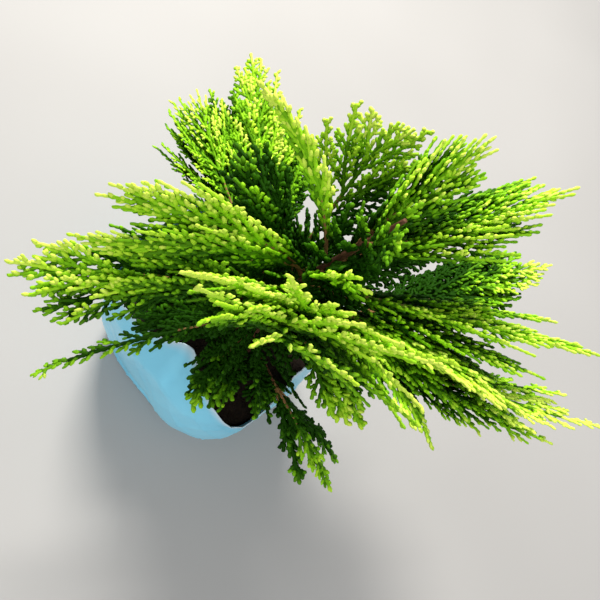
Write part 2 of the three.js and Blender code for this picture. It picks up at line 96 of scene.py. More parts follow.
# Sprays. height is 0 at the tip of the bough of that name. Up to open the values are the source's,
# but for some that follow the real foliage more closely. The tone of a mass is painted light and
# shade: it lightens the green of a mass that stands in the light and deepens one that lies in shade.
# fans is how many make up the mass, size the width of its shoots and thin the gaps between side
# twigs against the rule's, and stand how far these turn from flat, 0, to upright, 1.
Spray = namedtuple("Spray", "height azimuth rise arch sweep reach half turn open "
                            "tone fans size stand thin")
SPRAY_ROWS = {
    "low_right": (0, 348, 10, -22, 4, 72, 22, 6, 38, -1.3, 3, 1.25, 0.2, 1),
    "low_front": (116, 271, 24, -34, 6, 58, 32, -8, 50, -0.2, 4, 1.3, 0.2, 1),
    "low_left": (116, 211, 30, -26, -6, 78, 46, 12, 50, -1.0, 3, 1.25, 0.2, 1.3),
    "back_low": (112, 112, 24, -18, -4, 74, 30, 10, 50, -1.4, 2, 1.1, 0.2, 1),
    "right_low": (120, 38, 24, -14, 8, 104, 34, -10, 50, -1.4, 2, 1.1, 0.2, 1.4),
    "left": (0, 171, 16, 4, -8, 90, 46, -14, 44, 0.0, 3, 0.95, 0.3, 1),
    "left_back": (134, 145, 28, -18, 6, 150, 62, 24, 38, 0.2, 3, 0.95, 0.3, 1),
    "back_left": (0, 117, 61, 4, -6, 84, 54, 4, 50, 0.6, 1, 1.0, 0.0, 1.5),
    "back": (0, 78, 30, 8, 6, 96, 38, -12, 50, -1.8, 3, 1.1, 0.3, 1.2),
    "right_back": (0, 58, 33, 2, 8, 112, 48, 16, 34, 0.6, 3, 1.1, 0.4, 1),
    "right": (0, 26, 29, -10, 6, 127, 44, 26, 32, 1.7, 3, 1.1, 0.35, 1.6),
    "right_upper": (194, 31, 28, -14, 4, 148, 48, 44, 30, 0.5, 3, 1.2, 0.8, 1.4),
    "right_front": (180, 15, 40, -36, 4, 128, 44, 34, 30, 0.9, 3, 1.25, 0.4, 1.25),
    "right_tip": (186, 359, 38, -60, 2, 108, 34, 16, 34, 0.9, 2, 1.3, 0.4, 1.3),
    "right_under": (158, 351, 36, -42, 2, 78, 32, -22, 36, 1.3, 2, 1.2, 0.3, 1.3),
    "front_low": (142, 245, 29, -58, 4, 126, 17, -20, 50, -1.9, 1, 1.1, 0.3, 1.3),
    "front_left": (0, 231, 26, -46, 4, 96, 46, 22, 34, 0.2, 2, 1.2, 0.6, 1.6),
    "front_middle": (170, 229, 38, -38, -6, 112, 42, 56, 30, 0.8, 3, 1.3, 0.9, 1.25),
    "left_side": (196, 183, 44, -40, -6, 72, 38, 10, 34, -3.2, 3, 1.2, 0.6, 1.4),
    "left_arch": (214, 168, 58, -66, 10, 90, 22, 74, 36, 0.9, 1, 1.3, 0.6, 1),
    "left_upper": (206, 218, 31, -44, 4, 106, 44, 60, 30, 0.9, 2, 1.35, 0.9, 1.25),
    "crest_front": (0, 308, 74, 6, 0, 34, 94, 0, 66, 1.1, 3, 1.3, 0.8, 1.2),
    "crest_middle": (192, 292, 34, 52, 10, 58, 90, 0, 60, 1.1, 3, 1.3, 0.8, 1.25),
    "crest_back": (212, 300, 52, 32, 0, 44, 28, 0, 54, 1.1, 2, 1.3, 0.8, 1.5),
    "top_back": (216, 62, 40, -6, 4, 111, 48, 36, 30, 0.6, 4, 1.2, 0.9, 1),
    "top_left": (228, 92, 47, 2, -6, 76, 40, -30, 32, 0.9, 3, 1.2, 0.8, 1.1),
    "top": (242, 300, 66, 10, 0, 38, 20, 80, 60, -2.2, 2, 1.15, 0.9, 1),
}
SPRAYS = {name: Spray(*row) for name, row in SPRAY_ROWS.items()}
# A row with nothing set, for twigs that grow straight from a limb.
PLAIN = Spray(*[0] * 13, thin=1)

# Growth rule of a spray, as in the source.
RULE = Sizes(steps=14, stem=1.4, axis=0.9, end_twig=0.14, end_open=4, bare=0.14, gap=11.8,
             loose=0.5, shortest=9, vary=0.28, rise=0.3, foot=0.5, fall=0.62, tip=0.2, round=0.8,
             narrow=14, close=0.45, tilt=12, sag=0.22)

# Finer side twigs between the rule's own. finer is an odd number, so that hands stay in turn.
FINER = Sizes(finer=3, between=0.9, vary=0.8, narrow=0.74, tilt=30, bare=0.05, seed=400)
NEXT_SPRAY = 1000  # from the twig numbers of one spray to the next one's
# Fans of a mass, the first the spray itself: azimuth, rise and turn from its own, reach, and tone,
# painted shade that deepens the later, lower fans.
FANS = [(0, 0, 0, 1, 0), (9, -7, 12, 0.9, -1.0), (-8, -3, -12, 0.84, -0.9), (2, -16, 26, 0.7, -1.8)]
# How far apart the fans of some masses stand in azimuth and in rise, against the rest's.
APART = {"low_right": (1.6, 1), "low_left": (2.2, 1), "crest_front": (1, 3.4),
         "crest_middle": (1, 1.6)}
# Branchlets on the side twigs, and tips on the branchlets: gap along the parent, share of it
# that is bare, length against it, shortest, longest, angle, share of that at the end, how much
# length and tilt vary, steps, and seed.
Order = namedtuple("Order", "gap bare share least most open close vary tilt steps seed")
FLAT = Order(2.8, 0.04, 0.42, 4.0, 13.0, 40, 0.4, 0.4, 34, 4, 1000)
UPRIGHT = Order(1.5, 0.04, 0.14, 2.2, 4.2, 50, 0.6, 0.6, 40, 2, 1000)
TIPS = Order(2.1, 0.2, 0.5, 2.2, 3.6, 50, 0.7, 0.4, 40, 2, 60000)
# Branchlets and tips lengthen from first to full over a rise at the parent's foot, and shorten
# to last over a fall at its end. Stunted ones are left out.
SHOOT = Sizes(parent=7.31, next=1.37, loose=0.5, rise=0.25, first=0.6, fall=0.55, last=0.3,
              stunted=0.7, open_varies=0.3, tint_varies=0.7)
# Factors of a draw, and what it is for.
SCRAMBLE = (12.9898, 78.233, 37.719, 43758.5453)
TWIG_PLACE, TWIG_LENGTH, TWIG_TILT, TWIG_TINT = 1, 2, 3, 4
SHOOT_PLACE, SHOOT_LENGTH, SHOOT_OPEN, SHOOT_TILT, SHOOT_TINT = 5, 6, 7, 8, 9

# Scale leaves: width of a shoot by kind, and against it the pitch of their pairs, thickness, neck,
# where a pair swells, its width on edge, taper to the end, and a dome or stub there.
CORNERS = 4  # of a shoot's cross-section
WIDTH = {"axis": 3.2, "twig": 2.9, "branchlet": 2.5, "long_branchlet": 2.5, "tip": 2.3}
SCALES = Sizes(pitch=0.95, flat=0.66, neck=0.70, swell=0.58, narrow=0.86, taper=0.84, dome=0.12,
               dome_sizes=(0.84, 0.42), stub=0.5)
FOOT_SHADE = 1.3  # painted shade: how much paler a spray grows from its shaded foot to its end
EVEN_AT = 0.6  # share of the axis where it has the spray's own tone
TWIG_VARIES = 1.9  # how much side twigs differ in tint
# Shoots that hang down get painted shade, partly also the older, deeper green of hanging shoots.
LIT_UPPER_HAND = 0.9  # painted light from above: how much paler a shoot is that points up from its parent
TIPS_FROM = 4.0  # a branchlet this long, before its size, has tips of its own
GREEN_FROM = 0.2  # share of a spray's axis where bark ends and leaves start

# Stretches of each kind of shoot that are clad one by one: shares of its length from start to
# stop, width against the kind's, whether it ends blunt, and how much paler it is.
Stretch = namedtuple("Stretch", "start stop wide blunt pale")
STRETCHES = {
    "axis": [Stretch(GREEN_FROM, 0.97, 1, False, 0)],
    "twig": [Stretch(0, 0.6, 1, False, -0.3), Stretch(0.6, 1, 0.95, True, 0.9)],
    "branchlet": [Stretch(0, 1, 1.08, True, 0.9)],
    "long_branchlet": [Stretch(0, 0.55, 1, False, -0.5), Stretch(0.55, 1, 1.08, True, 1.3)],
    "tip": [Stretch(0, 1, 1, True, 0.9)],
}

# Twigs straight from the boughs and from the trunk, more of the trunk's lower down. Their tones are
# painted shade, because they grow deep inside the crown.
BOUGH_DRESS = Sizes(half=38, open=60, tone=-1.2, size=1.2, stand=0.3)
TRUNK_DRESS = Sizes(height=(112, 248), count=92, lower=1.3, turn=137.5, rise=(14, 64),
                    reach=(56, 20), foot=1, tone=-2.1, size=1.2, stand=0.6)

# Light from above: it fades through the cells of foliage over a shoot, evened out in passes, and
# what comes through lifts the shoot's tint by up to gain.
LIGHT = Sizes(cell=6.0, margin=3, passes=2, fade=0.17, gain=4.3)
# The dark heart of the crown: its middle, reach and depth of shade.
HEART = Sizes(place=(43, 62, 185), reach=46, shade=5.0)

# Tints of the foliage from deepest to palest: name, material slot, linear colour. Light and shade are
# painted by the choice among them: deeper tints for shade, paler tints for light.
TINTS = [
    ("shade", "foliage_deep", (0.012, 0.058, 0.001)),
    ("deep", "foliage_deep", (0.034, 0.128, 0.002)),
    ("leaf", "foliage_green", (0.088, 0.250, 0.004)),
    ("bright", "foliage_green", (0.180, 0.450, 0.006)),
    ("lime", "foliage_lime", (0.310, 0.650, 0.012)),
    ("yellow", "foliage_lime", (0.490, 0.800, 0.034)),
    ("gold", "foliage_lime", (0.680, 0.880, 0.100)),
]
MOST_FACES = 92000  # quads in one piece

# How far foliage keeps from the soil and the film, and its lowest height outside the bag.
KEEP = Sizes(over=2.5, beside=4, inside=7, lowest=40)

# Film: dents where it lies flatter, slack, creases that wind up the bag or gather its foot,
# gathers towards the free edge, the pale wavy hem (paler folded film with a painted highlight along
# its rolled edge), and the mesh. Slants are in radians to a millimetre, and a layer picks one of many
# ripples.
DENTS = [  # azimuth, spread, height, spread, depth
    (248, 34, 40, 50, 7),
    (292, 30, 12, 34, 4),
    (60, 26, 30, 40, 3),
    (150, 22, 70, 30, 2.5),
]
SLACK = Sizes(radius=68, high=0.8, wide=42, tall=50, sunk=0.5)
Crease = namedtuple("Crease", "high slant wide layer")
WINDING = [Crease(0.8, 0.011, 15, 2), Crease(0.6, -0.008, 19, 5)]
FOOT_CREASES = Crease(1.6, 0, 7, 8)
CREASING = Sizes(long=130, sharp=9, power=1.4, foot_height=24)
GATHERS = Sizes(high=1.1, wide=8, layer=11, power=4)
HEM = Sizes(wide=7, pale=0.8, power=1.5, wave=1.6, waves=3, layer=7)
# foot and plain are shares of the height where the wall rounds in and where it has no creases.
FILM = Sizes(sides=216, rows=56, thick=0.7, floor=0.8, lip=0.35, below_lip=0.1, foot=0.03,
             foot_in=3, plain=0.05)

# Soil: heights of its side, gaps to the film, how far its top is sunk, and lumps as height, width
# and layer, which start near the middle. Then its crumbs, turns and sizes from least to most.
SOIL = Sizes(sides=200, rings=46, heights=(2.4, 20, 40, 58, 80, 92), gap=3.0, top_gap=2.6,
             sunk=1.4, lumps=[(2.0, 9, 1), (1.2, 3, 4)], start=8)
CRUMBS = Sizes(size=1.1, to_square_metre=52000, above=94.2, seed=7,
               turns=((0, 0, 0), (6.3, 6.3, 6.3), 1), sizes=((0.35, 0.35, 0.3), (1.5, 1.2, 0.9), 2))

# Bark: fibres and flakes as stretch along Z and size of a ripple. Then sides of each kind of
# limb, depth of its bark and linear colours.
RELIEF = Sizes(fibres=(7, 1.5), flakes=(2.2, 3.2), apart=40, furrow=2.2, proud=0.5)
Bark = namedtuple("Bark", "sides depth dark middle light")
BARKS = {
    "stem": Bark(30, 0.10, (0.040, 0.016, 0.008), (0.120, 0.048, 0.024), (0.210, 0.105, 0.060)),
    "bough": Bark(16, 0.07, (0.090, 0.034, 0.014), (0.240, 0.100, 0.045), (0.380, 0.200, 0.100)),
    "twig": Bark(8, 0.05, (0.120, 0.055, 0.015), (0.300, 0.150, 0.050), (0.420, 0.260, 0.100)),
}
# Bark-covered foot of a spray's axis: points on the whole axis, share under the scale leaves, and
# radius against the rule's, thinner in the later fans and at its end.
STEM = Sizes(points=60, under=0.3, radius=0.9, later=0.75, end=0.5)
MERGE = 1e-6  # metres between points that are merged

# Studio, in metres, watts and millimetres of lens. Both lamps are aimed at the crown.
Lamp = namedtuple("Lamp", "place size watts colour")
LAMPS = {
    "key": Lamp((-0.60, 0.50, 1.05), 0.35, 22, (1.0, 0.97, 0.91)),
    "fill": Lamp((0.9, -0.9, 0.8), 1.2, 4, (0.98, 0.99, 1.0)),
}
AIM = (0.02, 0, 0.15)
SURROUND = Sizes(colour=(0.98, 0.99, 1.0, 1), strength=0.72)
FLOOR_HALF = 30000  # millimetres
CAMERA = Sizes(place=(0.024, -0.150, 0.467), down=62, roll=52, lens=36.12, sensor=36, nearest=0.01)


# Growth

def draw(spray, twig, use):
    """A repeatable draw between 0 and 1 for a spray, a twig on it and a use."""
    a, b, c, spread = SCRAMBLE
    value = np.sin(spray * a + np.asarray(twig) * b + use * c) * spread
    return value - np.floor(value)


def unit(vectors):
    return vectors / np.linalg.norm(vectors, axis=-1, keepdims=True)


def mix(a, b, share):
    return a + (b - a) * share


def heading(azimuth, rise):
    a, e = np.radians(azimuth), np.radians(rise)
    return np.stack([np.cos(e) * np.cos(a), np.cos(e) * np.sin(a), np.sin(e)], axis=-1)


def smooth_line(points, count):
    """Evenly spaced points on the centripetal curve through a few points."""
    given = np.array(points, float)
    ends = np.vstack([2 * given[0] - given[1], given, 2 * given[-1] - given[-2]])
    dense = []
    for k in range(1, len(ends) - 2):
        a, b, c, d = ends[k - 1:k + 3]
        ta, tb, tc = (np.linalg.norm(q - p) ** 0.5 for p, q in ((a, b), (b, c), (c, d)))
        start = ((b - a) / ta - (c - a) / (ta + tb) + (c - b) / tb) * tb
        stop = ((c - b) / tb - (d - b) / (tb + tc) + (d - c) / tc) * tb
        t = np.linspace(0, 1, STEPS.curve)[:, None]
        dense.append(b + start * t + (3 * (c - b) - 2 * start - stop) * t ** 2
                     + (2 * (b - c) + start + stop) * t ** 3)
    dense = np.vstack(dense)
    run = np.concatenate([[0], np.cumsum(np.linalg.norm(np.diff(dense, axis=0), axis=1))])
    even = np.linspace(0, run[-1], count)
    return np.stack([np.interp(even, run, dense[:, axis]) for axis in range(3)], axis=1)


TRUNK_CENTRE = smooth_line(TRUNK_LINE, TRUNK.rings)
TRUNK_LENGTH = np.linalg.norm(np.diff(TRUNK_CENTRE, axis=0), axis=1).sum()


def trunk_radius(at, turn):
    lobe = 0.5 + 0.5 * np.cos(TRUNK.roots * turn)
    flare = TRUNK.flare * np.exp(-at * TRUNK_LENGTH / TRUNK.flare_height)
    return (mix(TRUNK.foot, TRUNK.tip, at ** TRUNK.taper)
            + flare * mix(1, lobe, TRUNK.root_share))


def leave_trunk(row, radius):
    """Where a limb that leaves the trunk starts: on the bark, with the gap."""
    heights = TRUNK_CENTRE[:, 2]
    at = np.interp(row.height, heights, np.linspace(0, 1, len(heights)))
    point = np.array([np.interp(row.height, heights, TRUNK_CENTRE[:, axis]) for axis in range(3)])
    along = unit(np.gradient(TRUNK_CENTRE, axis=0))[round(at * (len(heights) - 1))]
    out = heading(row.azimuth, row.rise)
    slant = abs(along @ out)
    bark = trunk_radius(at, math.radians(row.azimuth))
    return point + out * (bark + CLEAR + radius * slant) / math.sqrt(1 - slant * slant)


def grow_line(start, azimuth, rise, arch, sweep, length, steps):
    at = np.arange(steps) / steps
    walk = heading(azimuth + sweep * at, rise + arch * at) * length / steps
    return np.vstack([start, start + np.cumsum(walk, axis=0)])


def bough_line(name):
    row = BOUGHS[name]
    return grow_line(leave_trunk(row, row.foot), row.azimuth, row.rise, row.arch, 0, row.length,
                     STEPS.bough)


def share_of(azimuth, bump, spread):
    away = np.abs((azimuth - bump + 540) % 360 - 180) / spread
    return np.exp(-away * away)


def rim_height(azimuth):
    return BAG.rim + sum(lift * share_of(azimuth, bump, spread)
                         for bump, spread, lift, _ in COLLAR)


def rim_lean(azimuth):
    return sum(lean * share_of(azimuth, bump, spread) for bump, spread, _, lean in COLLAR)


def bag_radius(height, azimuth):
    """Distance of the bag's outside from its middle, for arrays of heights and azimuths."""
    a = np.radians(azimuth)
    power = BAG.squareness
    plan = (np.abs(np.cos(a)) ** power + np.abs(np.sin(a)) ** power) ** (-1 / power)
    up = np.clip(height / BAG.belly_height, 0, 1)
    over = (height - BAG.belly_height) / (SOIL_LEVEL - BAG.belly_height)
    low = mix(BAG.foot, BAG.belly, np.sin(up * np.pi / 2))
    high = mix(BAG.belly, BAG.shoulder, np.clip(over, 0, 1) ** 2)
    free = np.clip((height - SOIL_LEVEL) / (rim_height(azimuth) - SOIL_LEVEL), 0, 1)
    half = np.where(up < 1, low, high) - rim_lean(azimuth) * free
    depth = CREASES.depth * np.clip(height / CREASES.full, 0, 1)
    return half * plan + depth * np.cos(a * CREASES.count)


def lowest_at(points):
    """The lowest that foliage may be: over the soil, over the free edge, or near the ground."""
    azimuth = np.degrees(np.arctan2(points[..., 1], points[..., 0]))
    outward = np.hypot(points[..., 0], points[..., 1])
    wall = bag_radius(np.full_like(azimuth, SOIL_LEVEL), azimuth)
    lean = rim_lean(azimuth)
    over_rim = rim_height(azimuth) + KEEP.over
    outside = outward > wall + KEEP.beside + np.maximum(0, -lean)
    inside = outward < wall - KEEP.inside - np.maximum(0, lean)
    return np.where(inside, SOIL_LEVEL + KEEP.over, np.where(outside, KEEP.lowest, over_rim))


class Shoots:
    """Many shoots of one kind: stations, ways along and across, lengths, tones (mostly painted light
    and shade) and numbers.
    """

    def __init__(self, points, along, across, length, level, number):
        self.points, self.along, self.across = points, along, across
        self.length, self.level, self.number = length, level, number

    def __len__(self):
        return len(self.length)

    def parts(self):
        return self.points, self.along, self.across, self.length, self.level, self.number

    def where(self, keep):
        return Shoots(*(part[keep] for part in self.parts()))

    def at(self, which, share):
        """Point, way along and way across of chosen shoots at a share of their length."""
        place = np.clip(share, 0, 1) * (self.points.shape[1] - 1)
        low = np.minimum(place.astype(int), self.points.shape[1] - 2)
        part = (place - low)[:, None]
        return [mix(field[which, low], field[which, low + 1], part)
                for field in (self.points, self.along, self.across)]


def branch(parent, which, share, hand, opened, closed, tilt, length, steps, level, number):
    """Shoots that leave their parents at a share of their length, to one hand or the other."""
    point, forward, side = parent.at(which, share)
    forward, side = unit(forward), unit(side)
    face = np.cross(side, forward)
    at = np.linspace(0, 1, steps + 1)
    angle = np.radians(opened[:, None] + (closed - opened)[:, None] * at) * hand[:, None]
    lift = np.sin(np.radians(tilt))[:, None] * np.abs(np.sin(angle))
    along = (forward[:, None] * np.cos(angle)[..., None] + side[:, None] * np.sin(angle)[..., None]
             + face[:, None] * lift[..., None])
    along[..., 2] -= RULE.sag * at ** 2
    along = unit(along)
    across = unit(np.cross(along, face[:, None]))
    walk = np.cumsum(along[:, :-1] * (length / steps)[:, None, None], axis=1)
    points = point[:, None] + np.concatenate([np.zeros_like(walk[:, :1]), walk], axis=1)
    return Shoots(points, along, across, length, level, number)


def spray_axis(row, start, number):
    """The axis of a spray as one shoot, with the flat of the spray turned round it."""
    reach = row.reach * RULE.axis
    line = grow_line(start, row.azimuth, row.rise, row.arch, row.sweep, reach, RULE.steps)
    at = np.linspace(0, 1, RULE.steps + 1)
    azimuth = row.azimuth + row.sweep * at
    along = heading(azimuth, row.rise + row.arch * at)
    level = heading(azimuth - 90, 0 * at)
    upright = np.cross(level, along)
    turn = math.radians(row.turn)
    side = level * math.cos(turn) + upright * math.sin(turn)
    return Shoots(line[None], along[None], side[None], np.array([reach]), np.array([row.tone]),
                  np.array([number]))


def envelope(at):
    rise = np.clip((at - RULE.bare) / RULE.rise, 0, 1)
    fall = np.clip((1 - at) / RULE.fall, 0, 1)
    return mix(RULE.foot, 1, rise) * mix(RULE.tip, 1, fall ** RULE.round)


def side_twigs(row, axis, number, fan):
    """The rule's side twigs, with finer ones between them."""
    bare = FINER.bare if fan else RULE.bare
    count = int(row.reach * (1 - bare) / (RULE.gap * row.thin)) * FINER.finer
    k = np.arange(count + 1)
    ruled = k % FINER.finer == 0
    last = k == count
    seed = np.where(ruled, k // FINER.finer, FINER.seed + k) + fan * FINER.seed
    late = (k + RULE.loose * draw(number, seed, TWIG_PLACE)) / count
    at = mix(bare, 1, np.minimum(1, late))
    size = np.where(ruled, 1, FINER.between)
    vary = np.where(ruled, RULE.vary, FINER.vary)
    varied = 1 + vary * (draw(number, seed, TWIG_LENGTH) - 0.5)
    length = np.maximum(RULE.shortest, row.half * envelope(at) * varied * size)
    length = np.where(last, row.reach * RULE.end_twig, length)
    spread = np.where(ruled, RULE.tilt, FINER.tilt)
    tilt = spread * (draw(number, seed, TWIG_TILT) - 0.5)
    narrow = mix(FINER.narrow, 1, row.stand)
    opened = (row.open - RULE.narrow * at) * np.where(ruled, 1, narrow)
    opened = np.where(last, RULE.end_open, opened)
    closed = np.where(last, 0, opened * RULE.close)
    hand = np.where(k % 2 == 0, 1, -1)
    # The spray's tone and its paler end are painted light and shade. The draw gives a tint that
    # differs at random.
    level = (row.tone + FOOT_SHADE * (at - EVEN_AT)
             + TWIG_VARIES * (draw(number, seed, TWIG_TINT) - 0.5))
    return branch(axis, np.zeros(count + 1, int), at, hand, opened, closed, tilt, length,
                  STEPS.twig, level, number * NEXT_SPRAY + seed)


def stand_up(shoots, share):
    """Turns the plane that shoots branch in from their own towards upright."""
    upright = unit(np.array([0, 0, 1.0]) - shoots.along * shoots.along[..., 2:])
    agree = np.where((upright * shoots.across).sum(axis=-1, keepdims=True) < 0, -1, 1)
    points, along, across, *rest = shoots.parts()
    return Shoots(points, along, unit(mix(across, upright * agree, share)), *rest)


def finer_shoots(parents, order, spray, size):
    """Shoots left and right in turn along each parent."""
    if not len(parents):
        return parents

    def swing(use):
        return draw(spray, number, use) - 0.5

    gap = order.gap * size
    counts = np.maximum(1, (parents.length * (1 - order.bare) / gap).astype(int))
    which = np.repeat(np.arange(len(parents)), counts)
    k = np.concatenate([np.arange(count) for count in counts])
    number = parents.number[which] * SHOOT.parent + k * SHOOT.next + order.seed
    late = SHOOT.loose * swing(SHOOT_PLACE)
    at = order.bare + (1 - order.bare) * (k + 0.5 + late) / counts[which]
    swell = (np.clip(at / SHOOT.rise, SHOOT.first, 1)
             * np.clip((1 - at) / SHOOT.fall, SHOOT.last, 1))
    length = np.clip(parents.length[which] * order.share, order.least, order.most) * size * swell
    length = length * (1 + order.vary * swing(SHOOT_LENGTH))
    keep = length > order.least * size * SHOOT.stunted
    which, k, number, at, length = (part[keep] for part in (which, k, number, at, length))
    hand = np.where((k + np.floor(parents.number[which])) % 2 == 0, 1, -1)
    opened = order.open * (1 + SHOOT.open_varies * swing(SHOOT_OPEN))
    tilt = order.tilt * swing(SHOOT_TILT)
    side = parents.at(which, at)[2]
    # Shoots that point up are painted paler, as if lit from above. Hanging ones are deeper, partly
    # their older green.
    level = (parents.level[which] + SHOOT.tint_varies * swing(SHOOT_TINT)
             + LIT_UPPER_HAND * side[:, 2] * hand)
    return branch(parents, which, at, hand, opened, opened * order.close, tilt, length,
                  round(order.steps), level, number)


# Meshes

def new_object(name, data):
    made = bpy.data.objects.new(name, data)
    bpy.context.collection.objects.link(made)
    return made


class Heap:
    """Points and quads of many small closed shapes, for joined pieces."""

    def __init__(self):
        self.points, self.quads, self.count = [], [], 0

    def add(self, points, quads):
        self.points.append(points.reshape(-1, 3))
        self.quads.append(quads.reshape(-1, 4) + self.count)
        self.count += points.size // 3

    def pieces(self):
        """Points and quads of each piece, at most MOST_FACES quads."""
        points = np.vstack(self.points)
        parts = math.ceil(sum(map(len, self.quads)) / MOST_FACES)
        for chosen in np.array_split(np.arange(len(self.quads)), parts):
            faces = np.vstack([self.quads[c] for c in chosen])
            used, new = np.unique(faces, return_inverse=True)
            yield points[used], new.reshape(-1, 4)


def mesh_from(name, points, quads, material):
    """A new object from arrays of points in millimetres and four-sided faces."""
    mesh = bpy.data.meshes.new(name)
    mesh.vertices.add(len(points))
    mesh.vertices.foreach_set("co", (points * MM).astype(np.float32).ravel())
    mesh.loops.add(quads.size)
    mesh.loops.foreach_set("vertex_index", quads.astype(np.int32).ravel())
    mesh.polygons.add(len(quads))
    mesh.polygons.foreach_set("loop_start", np.arange(0, quads.size, 4, dtype=np.int32))
    mesh.polygons.foreach_set("use_smooth", np.ones(len(quads), bool))
    mesh.update(calc_edges=True)
    mesh.validate()
    mesh.materials.append(material)
    return new_object(name, mesh)


def tube_quads(rings, sides):
    """Faces of a tube of rings, with a cap at each end of a shoot's."""
    r, s = np.meshgrid(np.arange(rings - 1), np.arange(sides), indexing="ij")
    a = r * sides + s
    b = r * sides + (s + 1) % sides
    walls = np.stack([a, b, b + sides, a + sides], axis=-1).reshape(-1, 4)
    if sides != CORNERS:
        return walls
    top = (rings - 1) * sides
    return np.vstack([walls, [[3, 2, 1, 0]], [[top, top + 1, top + 2, top + 3]]])


def clad(heap, shoots, stretch, width):
    """Covers a stretch of each shoot with pairs of scale leaves, wide and thick in turn."""
    run = stretch.stop - stretch.start
    beads = np.maximum(1, np.round(shoots.length * run / (width * SCALES.pitch))).astype(int)
    for count in np.unique(beads):
        group = shoots.where(beads == count)
        neck = np.arange(count)
        domed = stretch.blunt and count > 1
        ends = [count - SCALES.dome, count] if domed else [count]
        steps = np.sort(np.concatenate([neck, neck + SCALES.swell, ends]))
        bead = np.minimum(steps.astype(int), count - 1)
        swollen = np.isclose(steps - bead, SCALES.swell)
        size = np.where(swollen, 1, SCALES.neck)
        if domed:
            size[-2:] = SCALES.dome_sizes
        elif stretch.blunt:
            size[-1] = SCALES.stub
        odd = bead % 2 == 1
        lateral = size * np.where(odd & swollen, SCALES.narrow, 1)
        facial = size * np.where(odd & swollen, 1, SCALES.narrow)
        at = stretch.start + run * steps / count
        taper = mix(1, SCALES.taper, at)
        many = len(group)
        point, along, across = group.at(np.repeat(np.arange(many), len(at)), np.tile(at, many))
        along, across = unit(along), unit(across)
        face = np.cross(across, along)
        half = width / 2
        a = across * np.tile(lateral * taper, many)[:, None] * half
        f = face * np.tile(facial * taper, many)[:, None] * half * SCALES.flat
        rings = np.stack([point + a, point + f, point - a, point - f], axis=1)
        first = np.arange(many) * len(at) * CORNERS
        heap.add(rings, tube_quads(len(at), CORNERS)[None] + first[:, None, None])


def deal(shoots, kind, size, heaps, light):
    """Clads shoots of a kind, each stretch in the tint that its light and its level ask for."""
    for stretch in STRETCHES[kind]:
        halfway = np.full(len(shoots), (stretch.start + stretch.stop) / 2)
        middle = shoots.at(np.arange(len(shoots)), halfway)[0]
        level = light.level(middle) + shoots.level + stretch.pale
        tint = np.clip(np.round(level), 0, len(TINTS) - 1).astype(int)
        for k in np.unique(tint):
            clad(heaps[k], shoots.where(tint == k), stretch, WIDTH[kind] * stretch.wide * size)


def stays_in_space(shoots):
    return (shoots.points[..., 2] >= lowest_at(shoots.points)).all(axis=1)


class Light:
    """How much light from above comes through the foliage to a point, from 0 to 1."""

    def __init__(self, points):
        self.low = points.min(axis=0) - LIGHT.margin * LIGHT.cell
        cells = self.cells(points)
        crowd = np.zeros(cells.max(axis=0) + LIGHT.margin + 1)
        np.add.at(crowd, tuple(cells.T), 1)
        for _ in range(LIGHT.passes):
            for axis in (0, 1):
                crowd = (np.roll(crowd, 1, axis) + crowd + np.roll(crowd, -1, axis)) / 3
        above = np.cumsum(crowd[:, :, ::-1], axis=2)[:, :, ::-1] - crowd
        self.through = np.exp(-LIGHT.fade * above)

    def cells(self, points):
        return ((points - self.low) / LIGHT.cell).astype(int)

    def level(self, points):
        """The tint that the light at each point asks for, less in the heart of the crown."""
        cells = np.clip(self.cells(points), 0, np.array(self.through.shape) - 1)
        away = np.linalg.norm(points - np.array(HEART.place), axis=1) / HEART.reach
        return LIGHT.gain * self.through[tuple(cells.T)] - HEART.shade * np.exp(-away ** 2)


def fan_row(row, fan, wider, steeper):
    """The row of one fan of a mass, beside the spray's own."""
    azimuth, rise, turn, reach, tone = FANS[fan]
    hand = -1 if row.turn < 0 else 1
    return row._replace(azimuth=row.azimuth + azimuth * wider, rise=row.rise + rise * steeper,
                        turn=row.turn + turn * hand, reach=row.reach * reach,
                        half=row.half * reach, tone=row.tone + tone)


def grow_spray(name, number):
    """The axes, side twigs, branchlets and tips of a spray, fan by fan."""
    row = SPRAYS[name]
    if row.height:
        start = leave_trunk(row, RULE.stem)
    else:
        before, tip = bough_line(name)[-2:]
        start = tip + unit(tip - before) * CLEAR
    for fan in range(row.fans):
        own = fan_row(row, fan, *APART.get(name, (1, 1)))
        axis = spray_axis(own, start, number)
        twigs = side_twigs(own, axis, number, fan)
        yield axis, *grow_twigs(twigs, row.stand, row.size, number)


def grow_twigs(twigs, stand, size, number):
    """Twigs with their branchlets and tips, as far as they stay in their space."""
    order = Order(*mix(np.array(FLAT), np.array(UPRIGHT), stand))
    twigs = stand_up(twigs, stand)
    twigs = twigs.where(stays_in_space(twigs))
    branchlets = finer_shoots(twigs, order, number, size)
    branchlets = branchlets.where(stays_in_space(branchlets))
    tips = finer_shoots(branchlets.where(branchlets.length > TIPS_FROM * size), TIPS, number, size)
    return twigs, branchlets, tips.where(stays_in_space(tips))


def dress_bough(name, number):
    """Side twigs along a bough, by the same rule as a spray's."""
    row = BOUGHS[name]
    own = PLAIN._replace(azimuth=row.azimuth, rise=row.rise, arch=row.arch,
                         reach=row.length / RULE.axis, half=BOUGH_DRESS.half,
                         open=BOUGH_DRESS.open, tone=BOUGH_DRESS.tone)
    axis = spray_axis(own, bough_line(name)[0], number)
    twigs = side_twigs(own, axis, number, 0)
    return grow_twigs(twigs, BOUGH_DRESS.stand, BOUGH_DRESS.size, number)


